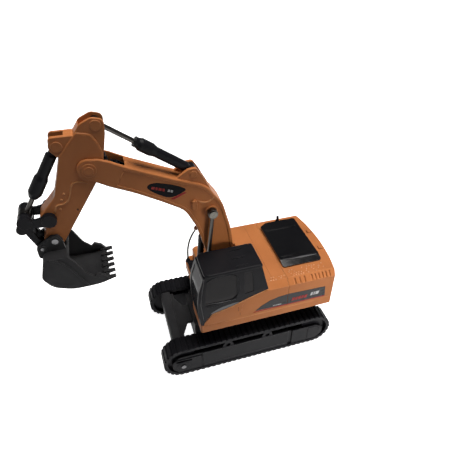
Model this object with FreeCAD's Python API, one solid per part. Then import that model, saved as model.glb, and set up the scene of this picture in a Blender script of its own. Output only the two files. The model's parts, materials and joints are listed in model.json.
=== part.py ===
import FreeCAD, Part
import math
import os

from FreeCAD import Vector

# Toy excavator, radio controlled, in millimetres.
# +X points forward (arm side), +Y to the left (cab side), +Z up. The origin is on the floor, on the
# slewing axis, midway between the tracks. Outlines are lists of (a, b, corner radius) in a side view.

# ---- driving dimensions ----------------------------------------------------------------------
TRACK_LENGTH = 145.0
TRACK_HEIGHT = 31.0
TRACK_INNER = 26.5
TRACK_OUTER = 40.5
WHEEL_X = (TRACK_LENGTH - TRACK_HEIGHT) / 2
WHEEL_Z = TRACK_HEIGHT / 2
BELT_THICKNESS = 3.2
TREAD_DEPTH = 0.8
TREAD_COUNT = 72
LUG_DEPTH = 1.1
LUG_HALF_WIDTH = 1.5
BELT_MIDDLE = (TRACK_INNER + TRACK_OUTER) / 2
FRAME_OUTER = 40.2

HOUSE_HALF = 40.2
HOUSE_BOTTOM = 46.5
DECK = 54.5
SHOULDER = 77.0
ROOF_LINE = 81.5
TOP_HALF = 35.6
REAR_RADIUS = 155.0
REAR_X = -73.2
SEAM_X = -29.0
WALL = 2.0
WELL_HALF = 14.2

CAB_INNER = 14.2
CAB_OUTER = 40.0
CAB_TOP = 102.0
CAB_WALL = 1.6

SLEW_MODULE = 0.8
SLEW_RING_TEETH = 36
SLEW_PINION_TEETH = 9
SLEW_RADIUS = SLEW_MODULE * (SLEW_RING_TEETH + SLEW_PINION_TEETH) / 2

BOOM_HALF = 8.0
BOOM_WALL = 1.8
BOOM_FOOT = (11.0, 62.0)
STICK_PIVOT = (97.6, 181.8)
BARREL_FOOT = (29.6, 58.5)
BOOM_CYLINDER_TOP = (22.0, 136.0)
BOOM_CYLINDER_Y = 11.0
STICK_CYLINDER_FOOT = (33.3, 167.2)
STICK_CYLINDER_TOP = (88.8, 208.6)

STICK_HALF = 5.8
STICK_WALL = 1.6
BUCKET_CYLINDER_FOOT = (112.5, 198.4)
ROCKER_PIVOT = (127.5, 151.0)
ROCKER_END = (142.0, 152.0)
BUCKET_PIVOT = (127.8, 134.5)
LINK_PIN = (136.6, 129.8)
BUCKET_HALF = 17.5

STICK_MODULE = 0.9
STICK_GEAR_TEETH = 26
STICK_PINION_TEETH = 8
PINION_ANGLE = math.radians(197)
PINION_REACH = STICK_MODULE * (STICK_GEAR_TEETH + STICK_PINION_TEETH) / 2
STICK_PINION = (
    STICK_PIVOT[0] + PINION_REACH * math.cos(PINION_ANGLE),
    STICK_PIVOT[1] + PINION_REACH * math.sin(PINION_ANGLE),
)

RUNNING = 0.06
LIFT_PIN_RADIUS = 1.1
LIFT_EYE_RADIUS = 2.4
CABLE_DIAMETER = 1.5


# ---- drawing helpers -------------------------------------------------------------------------
def box(x0, x1, y0, y1, z0, z1):
    return Part.makeBox(x1 - x0, y1 - y0, z1 - z0, Vector(x0, y0, z0))


def rod_y(spot, radius, y0, y1):
    """A cylinder along Y, on the (x, z) spot."""
    return Part.makeCylinder(radius, y1 - y0, Vector(spot[0], y0, spot[1]), Vector(0, 1, 0))


def rod_z(x, y, radius, z0, z1):
    return Part.makeCylinder(radius, z1 - z0, Vector(x, y, z0))


def rod_x(y, z, radius, x0, x1):
    return Part.makeCylinder(radius, x1 - x0, Vector(x0, y, z), Vector(1, 0, 0))


def outline(corners, place):
    """A flat face whose straight sides are joined by tangent arcs; place puts (a, b) in space."""
    spots = [Vector(c[0], c[1], 0) for c in corners]
    radii = [c[2] if len(c) > 2 else 0 for c in corners]
    count = len(corners)
    rounds = []
    for i, spot in enumerate(spots):
        back = (spots[i - 1] - spot).normalize()
        ahead = (spots[(i + 1) % count] - spot).normalize()
        half_turn = (math.pi - back.getAngle(ahead)) / 2
        reach = radii[i] * math.tan(half_turn)
        if reach < 1e-6:
            rounds.append((spot, spot, spot))
            continue
        inward = (back + ahead).normalize()
        centre = spot + inward * (radii[i] / math.cos(half_turn))
        rounds.append((spot + back * reach, centre - inward * radii[i], spot + ahead * reach))
    edges = []
    for i, (start, middle, end) in enumerate(rounds):
        if (end - start).Length > 1e-6:
            edges.append(Part.Arc(*[place(p.x, p.y) for p in (start, middle, end)]).toShape())
        following = rounds[(i + 1) % count][0]
        if (following - end).Length > 1e-6:
            edges.append(Part.LineSegment(place(end.x, end.y), place(following.x, following.y)).toShape())
    return Part.Face(Part.Wire(edges))


def side(corners, y0, y1, inset=0.0):
    """A slab from an (x, z) outline, from y0 to y1, with the outline drawn in by inset."""
    face = outline(corners, lambda a, b: Vector(a, y0, b))
    if inset:
        face = face.makeOffset2D(-inset)
    return face.extrude(Vector(0, y1 - y0, 0))


def plan(corners, z0, z1, inset=0.0):
    """A slab from an (x, y) outline, from z0 to z1."""
    face = outline(corners, lambda a, b: Vector(a, b, z0))
    if inset:
        face = face.makeOffset2D(-inset)
    return face.extrude(Vector(0, 0, z1 - z0))


def front(corners, x0, x1, inset=0.0):
    """A slab from a (y, z) outline, from x0 to x1."""
    face = outline(corners, lambda a, b: Vector(x0, a, b))
    if inset:
        face = face.makeOffset2D(-inset)
    return face.extrude(Vector(x1 - x0, 0, 0))


def fuse(*shapes):
    return shapes[0].fuse(list(shapes[1:])).removeSplitter()


def group(*shapes):
    return Part.makeCompound(list(shapes))


def mirrored(shape):
    """The same piece on the other side of the centre plane y = 0."""
    return shape.mirror(Vector(0, 0, 0), Vector(0, 1, 0))


def both(shape):
    return [shape, mirrored(shape)]


def soften(shape, radius, chosen):
    """Rounds the edges for which chosen(edge) is true."""
    return shape.makeFillet(radius, [e for e in shape.Edges if chosen(e)])


def gear_outline(teeth, module, phase):
    """(a, b) corners of a spur gear about (0, 0), one tooth centred at phase."""
    pitch = 2 * math.pi / teeth
    root, tip = module * (teeth / 2 - 1.15), module * (teeth / 2 + 0.8)
    corners = []
    for tooth in range(teeth):
        middle = phase + tooth * pitch
        for share, radius in ((-0.29, root), (-0.12, tip), (0.12, tip), (0.29, root)):
            angle = middle + share * pitch
            corners.append((radius * math.cos(angle), radius * math.sin(angle)))
    return corners


def turned(foot, top, y, profile):
    """A solid of revolution on the line from foot to top, through (distance, radius) points."""
    line = Vector(top[0] - foot[0], 0, top[1] - foot[1]).normalize()
    pieces = []
    for (d0, r0), (d1, r1) in zip(profile, profile[1:]):
        if d1 - d0 < 1e-6:
            continue
        start = Vector(foot[0], y, foot[1]) + line * d0
        if abs(r1 - r0) < 1e-6:
            pieces.append(Part.makeCylinder(r0, d1 - d0, start, line))
        else:
            pieces.append(Part.makeCone(r0, r1, d1 - d0, start, line))
    return fuse(*pieces) if len(pieces) > 1 else pieces[0]


# ---- tracks ----------------------------------------------------------------------------------
def loop_point(distance, radius):
    """(x, z) on the track's stadium, that far along its middle line from the bottom centre."""
    run, bend = 2 * WHEEL_X, math.pi * WHEEL_Z
    distance = (distance + WHEEL_X) % (2 * run + 2 * bend)
    if distance < run:
        return (distance - WHEEL_X, WHEEL_Z - radius)
    if distance < run + bend:
        angle = (distance - run) / WHEEL_Z - math.pi / 2
        return (WHEEL_X + radius * math.cos(angle), WHEEL_Z + radius * math.sin(angle))
    if distance < 2 * run + bend:
        return (WHEEL_X - (distance - run - bend), WHEEL_Z + radius)
    angle = (distance - 2 * run - bend) / WHEEL_Z + math.pi / 2
    return (-WHEEL_X + radius * math.cos(angle), WHEEL_Z + radius * math.sin(angle))


def tread_loop(steps, y0, y1):
    """A slab inside a loop around the track, through (share of a pitch, radius) steps at each tread."""
    pitch = (4 * WHEEL_X + 2 * math.pi * WHEEL_Z) / TREAD_COUNT
    corners = [loop_point((tread + share) * pitch, radius)
               for tread in range(TREAD_COUNT)
               for share, radius in steps]
    return side(corners, y0, y1)


BELT_HOLLOW = WHEEL_Z - BELT_THICKNESS


def belt():
    """The rubber belt: raised treads outside, and a row of guide lugs inside."""
    low, high, root, tip = WHEEL_Z - TREAD_DEPTH, WHEEL_Z, BELT_HOLLOW + 0.4, BELT_HOLLOW - LUG_DEPTH
    band = tread_loop([(-0.3, low), (-0.3, high), (0.3, high), (0.3, low)], TRACK_INNER, TRACK_OUTER)
    band = band.cut(tread_loop([(-0.25, BELT_HOLLOW), (0.25, BELT_HOLLOW)], TRACK_INNER - 1, TRACK_OUTER + 1))
    lug_y = (BELT_MIDDLE - LUG_HALF_WIDTH, BELT_MIDDLE + LUG_HALF_WIDTH)
    lugs = tread_loop([(-0.25, root + 0.4), (0.25, root + 0.4)], *lug_y)
    lugs = lugs.cut(tread_loop([(-0.22, root), (-0.22, tip), (0.22, tip), (0.22, root)], *lug_y))
    return fuse(band, lugs)


WHEEL_RADIUS = BELT_HOLLOW - 0.4
DISC_INNER = (29.4, 31.6)
DISC_OUTER = (35.4, 37.6)
AXLE_RADIUS = 1.5


def toothed_disc(y0, y1):
    """One of a sprocket's two discs, with fourteen round-bottomed teeth."""
    disc = rod_y((-WHEEL_X, WHEEL_Z), WHEEL_RADIUS, y0, y1)
    notches = []
    for tooth in range(14):
        angle = 2 * math.pi * tooth / 14
        spot = (-WHEEL_X + WHEEL_RADIUS * math.cos(angle), WHEEL_Z + WHEEL_RADIUS * math.sin(angle))
        notches.append(rod_y(spot, 1.3, y0, y1))
    return disc.cut(notches)


def sprocket():
    centre = (-WHEEL_X, WHEEL_Z)
    hub = rod_y(centre, 4.0, DISC_INNER[0], DISC_OUTER[1])
    shaft = rod_y(centre, AXLE_RADIUS, 22.4, 38.3)
    return fuse(hub, toothed_disc(*DISC_INNER), toothed_disc(*DISC_OUTER), shaft)


def idler():
    centre = (WHEEL_X, WHEEL_Z)
    rims = [rod_y(centre, WHEEL_RADIUS, *DISC_INNER), rod_y(centre, WHEEL_RADIUS, *DISC_OUTER)]
    wheel = fuse(rod_y(centre, 4.0, DISC_INNER[0], DISC_OUTER[1]), *rims)
    return wheel.cut(rod_y(centre, AXLE_RADIUS + RUNNING, 20, 45))


BOSS = (56.8, 10.7)


def idler_axle():
    """A plain steel pin for the idler, and the screw that shows in the frame's front boss."""
    pin = rod_y((WHEEL_X, WHEEL_Z), AXLE_RADIUS, 27.2, 38.7)
    screw = fuse(rod_y(BOSS, 1.0, 38.8, 40.5), rod_y(BOSS, 1.9, 40.5, 41.2))
    return group(pin, screw)


def track_frame():
    """The left track's side frame: a long beam, a thin inner plate and two outer end panels."""
    plate = side([(-61, 8, 5), (62, 8, 5), (62, 23, 5), (-61, 23, 5)], 27.0, 28.4)
    beam = box(-34, 40.6, 28.4, FRAME_OUTER, 4.8, 21.6)
    skirt = box(-34, 40.6, 37.2, FRAME_OUTER, 3.9, 6.0)
    lip = box(-34, 40.6, 38.6, TRACK_OUTER, 20.8, 22.2)
    front_panel = side([(41.2, 3.9, 0), (41.2, 21.6, 0), (59.5, 21.6, 3), (65.6, 17, 4), (65.6, 9, 4),
                        (60.5, 3.9, 3)], 38.7, FRAME_OUTER)
    front_boss = rod_y(BOSS, 5.2, 38.7, TRACK_OUTER)
    bridge = box(40.4, 41.4, 38.7, FRAME_OUTER - 0.6, 3.9, 21.6)
    rear_panel = side([(-37.6, 3.9, 0), (-37.6, 20.6, 0), (-59, 20.6, 3), (-65.6, 17, 4), (-65.6, 9, 4),
                       (-60.5, 3.9, 3)], 38.7, FRAME_OUTER)
    rear_box = side([(-52, 5, 0.5), (-52, 19, 0.5), (-59, 19, 2), (-63.5, 15.5, 2), (-63.5, 9, 2),
                     (-59.5, 5, 2)], 38.7, TRACK_OUTER)
    rear_bridge = box(-38, -33.6, 38.7, 39.3, 4.8, 20.6)
    brackets = []
    for middle in (19.2, -14.6):
        brackets.append(side([(middle - 5.4, 21.5), (middle + 5.4, 21.5), (middle + 2.8, 27.3, 1),
                              (middle - 2.8, 27.3, 1)], 36.8, FRAME_OUTER))
    frame = fuse(plate, beam, skirt, lip, front_panel, front_boss, bridge, rear_panel, rear_box,
                 rear_bridge, *brackets)
    slot = box(49.5, 62.6, 38.0, 41.0, 15.9, 18.0)
    step = box(41.2, 66.0, 39.6, 41.0, 18.9, 22.0)
    cuts = [box(-32, 38.6, 30.0, 38.6, 4.0, 19.8), slot, step]
    cuts += [rod_y((middle, 24.0), 1.9, 38.8, 41) for middle in (19.2, -14.6)]
    cuts += [rod_y((-WHEEL_X, WHEEL_Z), AXLE_RADIUS + RUNNING, 26, 29)]
    cuts += [rod_y((WHEEL_X, WHEEL_Z), AXLE_RADIUS, 27.2, 29), rod_y(BOSS, 1.0, 38.0, 41)]
    return frame.cut(cuts)


# ---- chassis ---------------------------------------------------------------------------------
HULL_HALF = 18.0
HULL_FRONT = 41.2
CHASSIS_HALF = 26.2
COVER_TOP = 11.0
CUP_RADIUS = 25.0
SPINDLE_RADIUS = 8.0
COVER_SCREWS = [(34, 12), (34, -12), (-52, 4.8), (-52, -4.8)]


def chassis_frame():
    hull = box(-48, HULL_FRONT, -HULL_HALF, HULL_HALF, COVER_TOP, TRACK_HEIGHT)
    rear = box(-63.5, -38, -CHASSIS_HALF, CHASSIS_HALF, COVER_TOP, 28.5)
    beam = side([(54, 15, 2), (62.2, 15, 2), (62.2, 29.5, 2.5), (54, 29.5, 1)], -CHASSIS_HALF, CHASSIS_HALF)
    edge = [(HULL_FRONT - 1, 9.3), (46, 9.3), (51.4, 20), (51.4, CHASSIS_HALF), (55, CHASSIS_HALF)]
    plate = plan(edge + [(x, -y) for x, y in reversed(edge)], 23.5, 26.5)
    rib = box(HULL_FRONT - 1, 55, -1.2, 1.2, 15, 24)
    arms = box(-30, 37, -27.0, 27.0, 12, 26)
    cup = rod_z(0, 0, CUP_RADIUS, 29, 45.6).cut(rod_z(0, 0, CUP_RADIUS - 1.5, 36.5, 46))
    spindle = rod_z(0, 0, SPINDLE_RADIUS, 30, 46.2)
    body = fuse(hull, rear, beam, plate, rib, arms, cup, spindle)
    hollow = [
        box(-46, HULL_FRONT - WALL, -HULL_HALF + WALL, HULL_HALF - WALL, 10, TRACK_HEIGHT - WALL),
        box(-61.5, -40, -CHASSIS_HALF + WALL, CHASSIS_HALF - WALL, 10, 26.5),
        box(-61.5, -38, -HULL_HALF + WALL, HULL_HALF - WALL, 10, 26.5),
        rod_z(0, 0, CUP_RADIUS - 3, 28, 34.5),
        rod_z(0, 0, SPINDLE_RADIUS - 2.5, 28, 47),
        box(-28, 35, HULL_HALF, 25.5, 10, 24),
        box(-28, 35, -25.5, -HULL_HALF, 10, 24),
        box(56, 60.4, -CHASSIS_HALF + WALL, CHASSIS_HALF - WALL, 14, 27.6),
    ]
    body = body.cut(hollow)
    posts = [rod_z(x, y, 2.6, COVER_TOP, 27.5 if x < 0 else 30) for x, y in COVER_SCREWS]
    body = fuse(body, *posts)
    holes = [rod_z(x, y, 1.0, 10, 20) for x, y in COVER_SCREWS]
    holes.append(rod_y((-WHEEL_X, WHEEL_Z), AXLE_RADIUS + RUNNING, -30, 30))
    return body.cut(holes)


def chassis_cover():
    plate = fuse(box(-63.5, -38, -CHASSIS_HALF, CHASSIS_HALF, 9, COVER_TOP),
                 box(-48, HULL_FRONT, -HULL_HALF, HULL_HALF, 9, COVER_TOP))
    return plate.cut([rod_z(x, y, 1.0, 8, 12) for x, y in COVER_SCREWS])


def chassis_screws():
    return group(*[fuse(rod_z(x, y, 1.0, 9, 19.5), rod_z(x, y, 2.0, 7.8, 9)) for x, y in COVER_SCREWS])


def drive_motor():
    """A track's gearbox with its small motor lying along the hull."""
    gearbox = box(-61, -41.5, 9.5, 23.9, COVER_TOP + 0.3, 25.5)
    motor = rod_x(9.6, 18.4, 6.0, -41.5, -21.5)
    body = fuse(gearbox, motor)
    return body.cut(rod_y((-WHEEL_X, WHEEL_Z), AXLE_RADIUS + RUNNING, 22.2, 25))


def slew_ring():
    corners = gear_outline(SLEW_RING_TEETH, SLEW_MODULE, math.pi)
    return plan(corners, 36.5, 41.5).cut(rod_z(0, 0, SPINDLE_RADIUS, 36, 42))


def slew_pinion():
    half_pitch = math.pi / SLEW_PINION_TEETH
    corners = [(a - SLEW_RADIUS, b) for a, b in gear_outline(SLEW_PINION_TEETH, SLEW_MODULE, half_pitch)]
    return fuse(plan(corners, 37.0, 41.0), rod_z(-SLEW_RADIUS, 0, 1.0, 37.0, 51.5))


def slew_motor():
    """Gearbox on the house floor above the slewing pinion, with its motor on top."""
    gearbox = box(-27, -10, -9, 9, HOUSE_BOTTOM + WALL, 62)
    motor = rod_z(-SLEW_RADIUS, 0, 6.0, 62, 77)
    return fuse(gearbox, motor).cut(rod_z(-SLEW_RADIUS, 0, 1.0 + RUNNING, 45, 52))


# ---- house -----------------------------------------------------------------------------------
CAB_LINE = [(38.2, DECK), (38.2, 56.5), (34.8, 61.0), (31.0, 64.9), (18.0, 67.8), (2.3, 73.7), (-12.3, 78.6)]
BASE_OUTLINE = [(40.8, HOUSE_HALF, 1.5), (40.8, 13, 2), (36, 8, 3), (36, -35.5, 3), (31.5, -HOUSE_HALF, 3),
                (-90, -HOUSE_HALF), (-90, HOUSE_HALF)]
HATCH = (-63.0, -30.2, -30.0, 25.0)
BASE_SCREWS = [(-60, 33), (-60, -33), (-22, -33), (-22, 33)]
SWITCH = (-55.0, -8.5)
CABLE_EXIT = (33.6, -34.0)


def rear_drum(radius, z0, z1):
    """The big upright cylinder that gives the house its gently curved back."""
    return rod_z(REAR_X + REAR_RADIUS, 0, radius, z0, z1)


def house_base():
    """The orange tray that carries everything that slews."""
    tray = plan(BASE_OUTLINE, HOUSE_BOTTOM, DECK).common(rear_drum(REAR_RADIUS, 40, 60))
    well_wall = -3.0
    hollow = plan(BASE_OUTLINE, HOUSE_BOTTOM + WALL, DECK + 1, WALL)
    hollow = hollow.common(rear_drum(REAR_RADIUS - WALL, 40, 60)).common(box(-90, well_wall, -50, 50, 40, 60))
    pocket = plan(BASE_OUTLINE, HOUSE_BOTTOM - 1, DECK - WALL, WALL)
    pocket = pocket.common(box(well_wall + 32, 50, -50, 50, 40, 60))
    tray = tray.cut([hollow, pocket])
    posts = [rod_z(x, y, 3.0, HOUSE_BOTTOM + 1, DECK) for x, y in BASE_SCREWS]
    tray = fuse(tray, *posts)
    cuts = [rod_z(0, 0, SPINDLE_RADIUS + 0.4, 45, 60), rod_z(-SLEW_RADIUS, 0, 5.2, 45, 50)]
    cuts += [rod_z(x, y, 1.1, 45, 60) for x, y in BASE_SCREWS]
    cuts.append(box(SWITCH[0] - 2, SWITCH[0] + 2, SWITCH[1] - 2.5, SWITCH[1] + 6.5, 45, 49))
    cuts.append(rod_z(*CABLE_EXIT, 1.0, 50, 56))
    return tray.cut(cuts)


def shoulders(x0, x1):
    """Two wedges that bevel the long top edges of the house."""
    wedge = front([(TOP_HALF, ROOF_LINE), (HOUSE_HALF, SHOULDER), (HOUSE_HALF + 3, SHOULDER),
                   (HOUSE_HALF + 3, ROOF_LINE + 3), (TOP_HALF, ROOF_LINE + 3)], x0, x1)
    return both(wedge)


def house_hollow(x0, x1, y0, y1):
    """Room under a roof of the house, kept below the bevelled edges."""
    low = box(x0, x1, y0, y1, DECK - 5, SHOULDER - 1.5)
    high = box(x0, x1, max(y0, -TOP_HALF + 1.5), min(y1, TOP_HALF - 1.5), DECK - 5, ROOF_LINE - WALL)
    return low.fuse(high)


def front_shell():
    """The orange cover in front of the seam: cab sill, bulkhead and the right-hand engine side."""
    line = CAB_LINE + [(-12.3, ROOF_LINE)]
    start = SEAM_X + 0.2
    sill = side(line + [(start, ROOF_LINE), (start, DECK)], CAB_INNER, HOUSE_HALF)
    bulkhead = box(start, -3, -WELL_HALF, CAB_INNER, DECK, ROOF_LINE)
    right = side([(start, DECK), (17, DECK), (17, ROOF_LINE, 2.5), (start, ROOF_LINE)], -HOUSE_HALF, -WELL_HALF)
    shell = fuse(sill, bulkhead, right).cut(shoulders(start - 1, 20))
    line_low = [(38.2, DECK - 9)] + CAB_LINE[1:]
    line_low += [(-12.3, ROOF_LINE), (start - 5, ROOF_LINE), (start - 5, DECK - 9)]
    hollows = [
        side(line_low, CAB_INNER + WALL, HOUSE_HALF - WALL, WALL).common(box(-14.5, 40, 0, 50, 40, 75.4)),
        house_hollow(start - 1, -14.3, -HOUSE_HALF + WALL, HOUSE_HALF - WALL),
        house_hollow(-15, -5, -WELL_HALF - 1, CAB_INNER - WALL),
        house_hollow(-15, 15, -HOUSE_HALF + WALL, -WELL_HALF - WALL),
    ]
    shell = shell.cut(hollows)
    posts = [rod_z(x, y, 3.0, DECK, SHOULDER - 1) for x, y in BASE_SCREWS[2:]]
    return fuse(shell, *posts).cut([rod_z(x, y, 1.1, 50, 62) for x, y in BASE_SCREWS[2:]])


def rear_shell():
    """The orange engine hood and counterweight behind the seam, with the battery box in its top."""
    hood = box(-90, SEAM_X, -HOUSE_HALF, HOUSE_HALF, DECK, ROOF_LINE)
    hood = hood.common(rear_drum(REAR_RADIUS, 40, 90)).cut(shoulders(-95, 0))
    hood = soften(hood, 1.5, lambda e: e.CenterOfMass.x < -66 and e.CenterOfMass.z > ROOF_LINE - 0.5)
    hollow = house_hollow(-90, SEAM_X + 1, -HOUSE_HALF + WALL, HOUSE_HALF - WALL)
    hood = hood.cut(hollow.common(rear_drum(REAR_RADIUS - WALL, 40, 90)))
    x0, x1, y0, y1 = HATCH
    battery_box = box(x0 - 0.6, x1 + 0.6, y0 - 0.6, y1 + 0.6, 61, ROOF_LINE - 1)
    lugs = [box(-70.6, -67.0, y - 1.6, y + 1.6, ROOF_LINE - 1, ROOF_LINE + 1.4) for y in (-11, 11)]
    posts = [rod_z(x, y, 3.0, DECK, SHOULDER - 1) for x, y in BASE_SCREWS[:2]]
    hood = fuse(hood, battery_box, *lugs, *posts)
    cuts = [box(x0 + 1, x1 - 1, y0 + 1, y1 - 1, 62.5, 90)]
    cuts += [rod_z(x, y, 1.1, 50, 62) for x, y in BASE_SCREWS[:2]]
    for start in list(range(-34, -44, -4)) + list(range(-48, -64, -3)):
        vent = front([(TOP_HALF + 0.9, ROOF_LINE + 2), (TOP_HALF + 0.9, ROOF_LINE - 1.9),
                      (HOUSE_HALF - 1, SHOULDER), (HOUSE_HALF + 2, SHOULDER),
                      (HOUSE_HALF + 2, ROOF_LINE + 2)], start - 1.4, start)
        cuts += both(vent)
    return hood.cut(cuts)


def battery_hatch():
    """The gloss black lid with a chamfered corner, two cross grooves and a sloping near edge."""
    x0, x1, y0, y1 = HATCH
    corners = [(x1, y0 + 4, 1), (x1, y1, 2), (x0, y1, 2), (x0, y0, 2), (x1 - 6, y0, 1)]
    lid = plan(corners, ROOF_LINE, ROOF_LINE + 2.6)
    slope = front([(y1 - 7, ROOF_LINE + 2.6), (y1 + 1, ROOF_LINE + 0.9), (y1 + 1, ROOF_LINE + 4),
                   (y1 - 7, ROOF_LINE + 4)], x0 - 1, x1 + 1)
    grooves = [box(x0 + 2.5, x1 - 2.5, y - 0.5, y + 0.5, ROOF_LINE + 2.0, ROOF_LINE + 3) for y in (-19, 15)]
    lip = box(x0 + 1.4, x1 - 1.4, y0 + 6, y1 - 1.4, ROOF_LINE - 1.8, ROOF_LINE + 0.5)
    lip = lip.cut(box(x0 + 2.8, x1 - 2.8, y0 + 7.4, y1 - 2.8, ROOF_LINE - 3, ROOF_LINE))
    return fuse(lid.cut([slope] + grooves), lip)


def battery_pack():
    """Two round cells side by side in a shrink-wrapped pack."""
    cells = [rod_y((x, 69.7), 7.2, -27.0, 22.0) for x in (-54.0, -39.4)]
    return fuse(box(-54, -39.4, -27, 22, 62.5, 76.9), *cells)


def tool_box():
    """The small orange locker on the right front of the deck."""
    return side([(17.2, DECK), (28.6, DECK), (28.6, 64.5, 1.5), (26, 66.2, 1), (17.2, 66.2)], -38.0, -15.0)


def step_plate():
    """The black footstep in front of the locker, with four anti-slip bars."""
    plate = box(28.8, 34.8, -31.0, -16.0, DECK, DECK + 2.6)
    bars = [box(29.4, 34.2, y, y + 1.6, DECK + 2.6, DECK + 3.2) for y in (-29.4, -25.6, -21.8, -18.0)]
    return fuse(plate, *bars)


def exhaust_stub():
    return fuse(rod_z(-48.8, -32.9, 1.6, ROOF_LINE, ROOF_LINE + 1), rod_z(-48.8, -32.9, 1.1, ROOF_LINE, 86.5))


def circuit_board():
    board = box(-10, 13, -36.5, -19, 60.5, 62.0)
    parts = [box(-6, 2, -33, -25, 62.0, 63.4), box(5, 11, -34, -22, 62.0, 65), rod_z(-3, -21.5, 1.6, 62, 67)]
    posts = [rod_z(x, y, 1.6, DECK, 60.5) for x in (-8.5, 11) for y in (-35, -20.5)]
    return fuse(board, *parts, *posts)


def cable_grommet():
    ring = Part.makeCone(2.3, 1.5, 2.4, Vector(*CABLE_EXIT, DECK))
    return fuse(ring, rod_z(*CABLE_EXIT, 1.0, DECK - 2, DECK))


def house_screws():
    return group(*[fuse(rod_z(x, y, 1.1, HOUSE_BOTTOM, 61.5),
                        rod_z(x, y, 2.1, HOUSE_BOTTOM - 1.2, HOUSE_BOTTOM))
                   for x, y in BASE_SCREWS])


def power_switch():
    """Slide switch under the back of the house."""
    x, y = SWITCH
    knob = box(x - 1.6, x + 1.6, y - 1.6, y + 1.6, HOUSE_BOTTOM - 1.4, HOUSE_BOTTOM + WALL + 0.3)
    flange = box(x - 3.4, x + 3.4, y - 4.2, y + 4.2, HOUSE_BOTTOM + WALL + 0.3, HOUSE_BOTTOM + WALL + 1.8)
    return fuse(knob, flange)


# ---- cab -------------------------------------------------------------------------------------
CAB_PROFILE = CAB_LINE + [(-9.7, 88.9), (-6.6, CAB_TOP), (37.0, CAB_TOP, 2.5), (41.3, 88, 22), (42.2, 78, 30),
                          (42.0, 67, 20), (40.6, DECK)]
CAB_SECTION = [(CAB_INNER, DECK - 1), (CAB_OUTER, DECK - 1), (CAB_OUTER, 80, 20), (38.2, CAB_TOP + 1),
               (CAB_INNER, CAB_TOP + 1)]
DOOR_WINDOW = [(12.5, 77.2, 1.5), (36.3, 74.5, 1.5), (36.6, 86, 4), (33.6, 99.6, 2), (12.5, 99.6, 1.5)]
REAR_WINDOW = [(-0.6, 80.0, 1), (6.4, 79.0, 1), (6.4, 99.0, 1), (0.6, 99.0, 1)]
RIGHT_WINDOW = [(3, 80.0, 1.5), (35.6, 76, 1.5), (35.9, 86, 4), (33.0, 98.6, 2), (3, 98.6, 1.5)]


def cab_solid(inset):
    """The cab's outer shape, drawn in by inset on every side."""
    body = side(CAB_PROFILE, CAB_INNER + inset, CAB_OUTER - inset, inset)
    return body.common(front(CAB_SECTION, -20, 50, inset))


def windshield_opening():
    return side([(38.4, 62.5), (50, 62.5), (50, 98.5), (33.5, 98.5), (37.5, 88)], 17.2, 37.2)


def window_openings():
    left = [side(corners, 34, 45) for corners in (DOOR_WINDOW, REAR_WINDOW)]
    return left + [side(RIGHT_WINDOW, 10, 18), box(-20, 0, 19, 35, 84.5, 98.5)]


def cab_body():
    shell = cab_solid(0).cut(cab_solid(CAB_WALL))
    return shell.cut([windshield_opening()] + window_openings())


def cab_roof():
    """The roof panel, with three raised ribs over its rear half."""
    panel = plan([(-7.2, 13.0, 2), (36.4, 13.0, 4), (36.4, 39.2, 4), (-7.2, 39.2, 2)], CAB_TOP, CAB_TOP + 2)
    panel = soften(panel, 1.2, lambda e: e.CenterOfMass.z > CAB_TOP + 1.9)
    ribs = [box(2.8, 12.2, y - 0.6, y + 0.6, CAB_TOP + 1.5, CAB_TOP + 2.7) for y in (17.8, 26.8, 35.6)]
    return fuse(panel, *ribs)


def glass_layer():
    return cab_solid(0.4).cut(cab_solid(1.2))


def windshield():
    return glass_layer().common(windshield_opening())


def cab_windows():
    layer = glass_layer()
    return group(*[layer.common(opening) for opening in window_openings()])


def cab_seat():
    """Seat and side console on the cab floor, moulded as one piece."""
    base = box(-1, 17, 20, 34, 76.5, 80.5)
    cushion = box(2, 17, 21, 33, 80.5, 84)
    back = side([(-3.5, 80.5), (3, 80.5), (0, 99, 1.5), (-4.6, 99, 1.5)], 21, 33)
    stem = box(4, 12, 25, 29, 66, 76.5)
    return fuse(base, cushion, back, stem).common(cab_solid(CAB_WALL))


# ---- boom and its mounting ---------------------------------------------------------------------
def boom_bracket():
    """The black casting on the deck that holds the boom foot and the feet of both lift cylinders."""
    base = box(1, 34.5, -10.6, 10.6, DECK, DECK + 0.8)
    cheek = side([(1.5, DECK), (20.5, DECK), (17.4, 65, 4), (11, 69.5, 5), (4.8, 66, 4)], 8.4, 10.6)
    block = side([(25.6, DECK), (33.8, DECK), (33.0, 61.8, 2), (26.2, 61.8, 2)], -8.0, 8.0)
    body = fuse(base, *both(cheek), block)
    return body.cut([rod_y(BOOM_FOOT, 2.0, -12, 12), rod_y(BARREL_FOOT, 1.4, -15, 15)])


def boom_pins():
    """Steel pins fixed in the bracket: the boom pivot and the lift cylinders' foot pin."""
    heads = [rod_y(BARREL_FOOT, 1.4, -13.3, 13.3)]
    pivot = fuse(rod_y(BOOM_FOOT, 2.0, -10.6, 10.6), *both(rod_y(BOOM_FOOT, 2.9, 10.6, 11.3)))
    return group(pivot, *heads)


BOOM_TOP = [(98, 188.8), (91.0, 188.2, 8), (84.5, 185.4, 15), (74, 179.6, 30), (47, 166.8, 90),
            (25.0, 157.6, 20),
            (13.6, 141.0, 22), (7.6, 118.0, 60), (4.7, 95, 90), (4.6, 62)]
BOOM_BELLY = [(17.4, 62), (27.8, 103, 90), (33.4, 124.5, 25), (40.8, 140.2, 18), (56, 150.4, 60), (73, 160.8, 90),
              (87, 167.8, 40), (99.2, 175.4)]
BOOM_OUTLINE = BOOM_TOP + BOOM_BELLY
BOOM_SCREWS = [(20, 116), (48, 157.5), (15, 80), (72, 166)]


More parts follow.
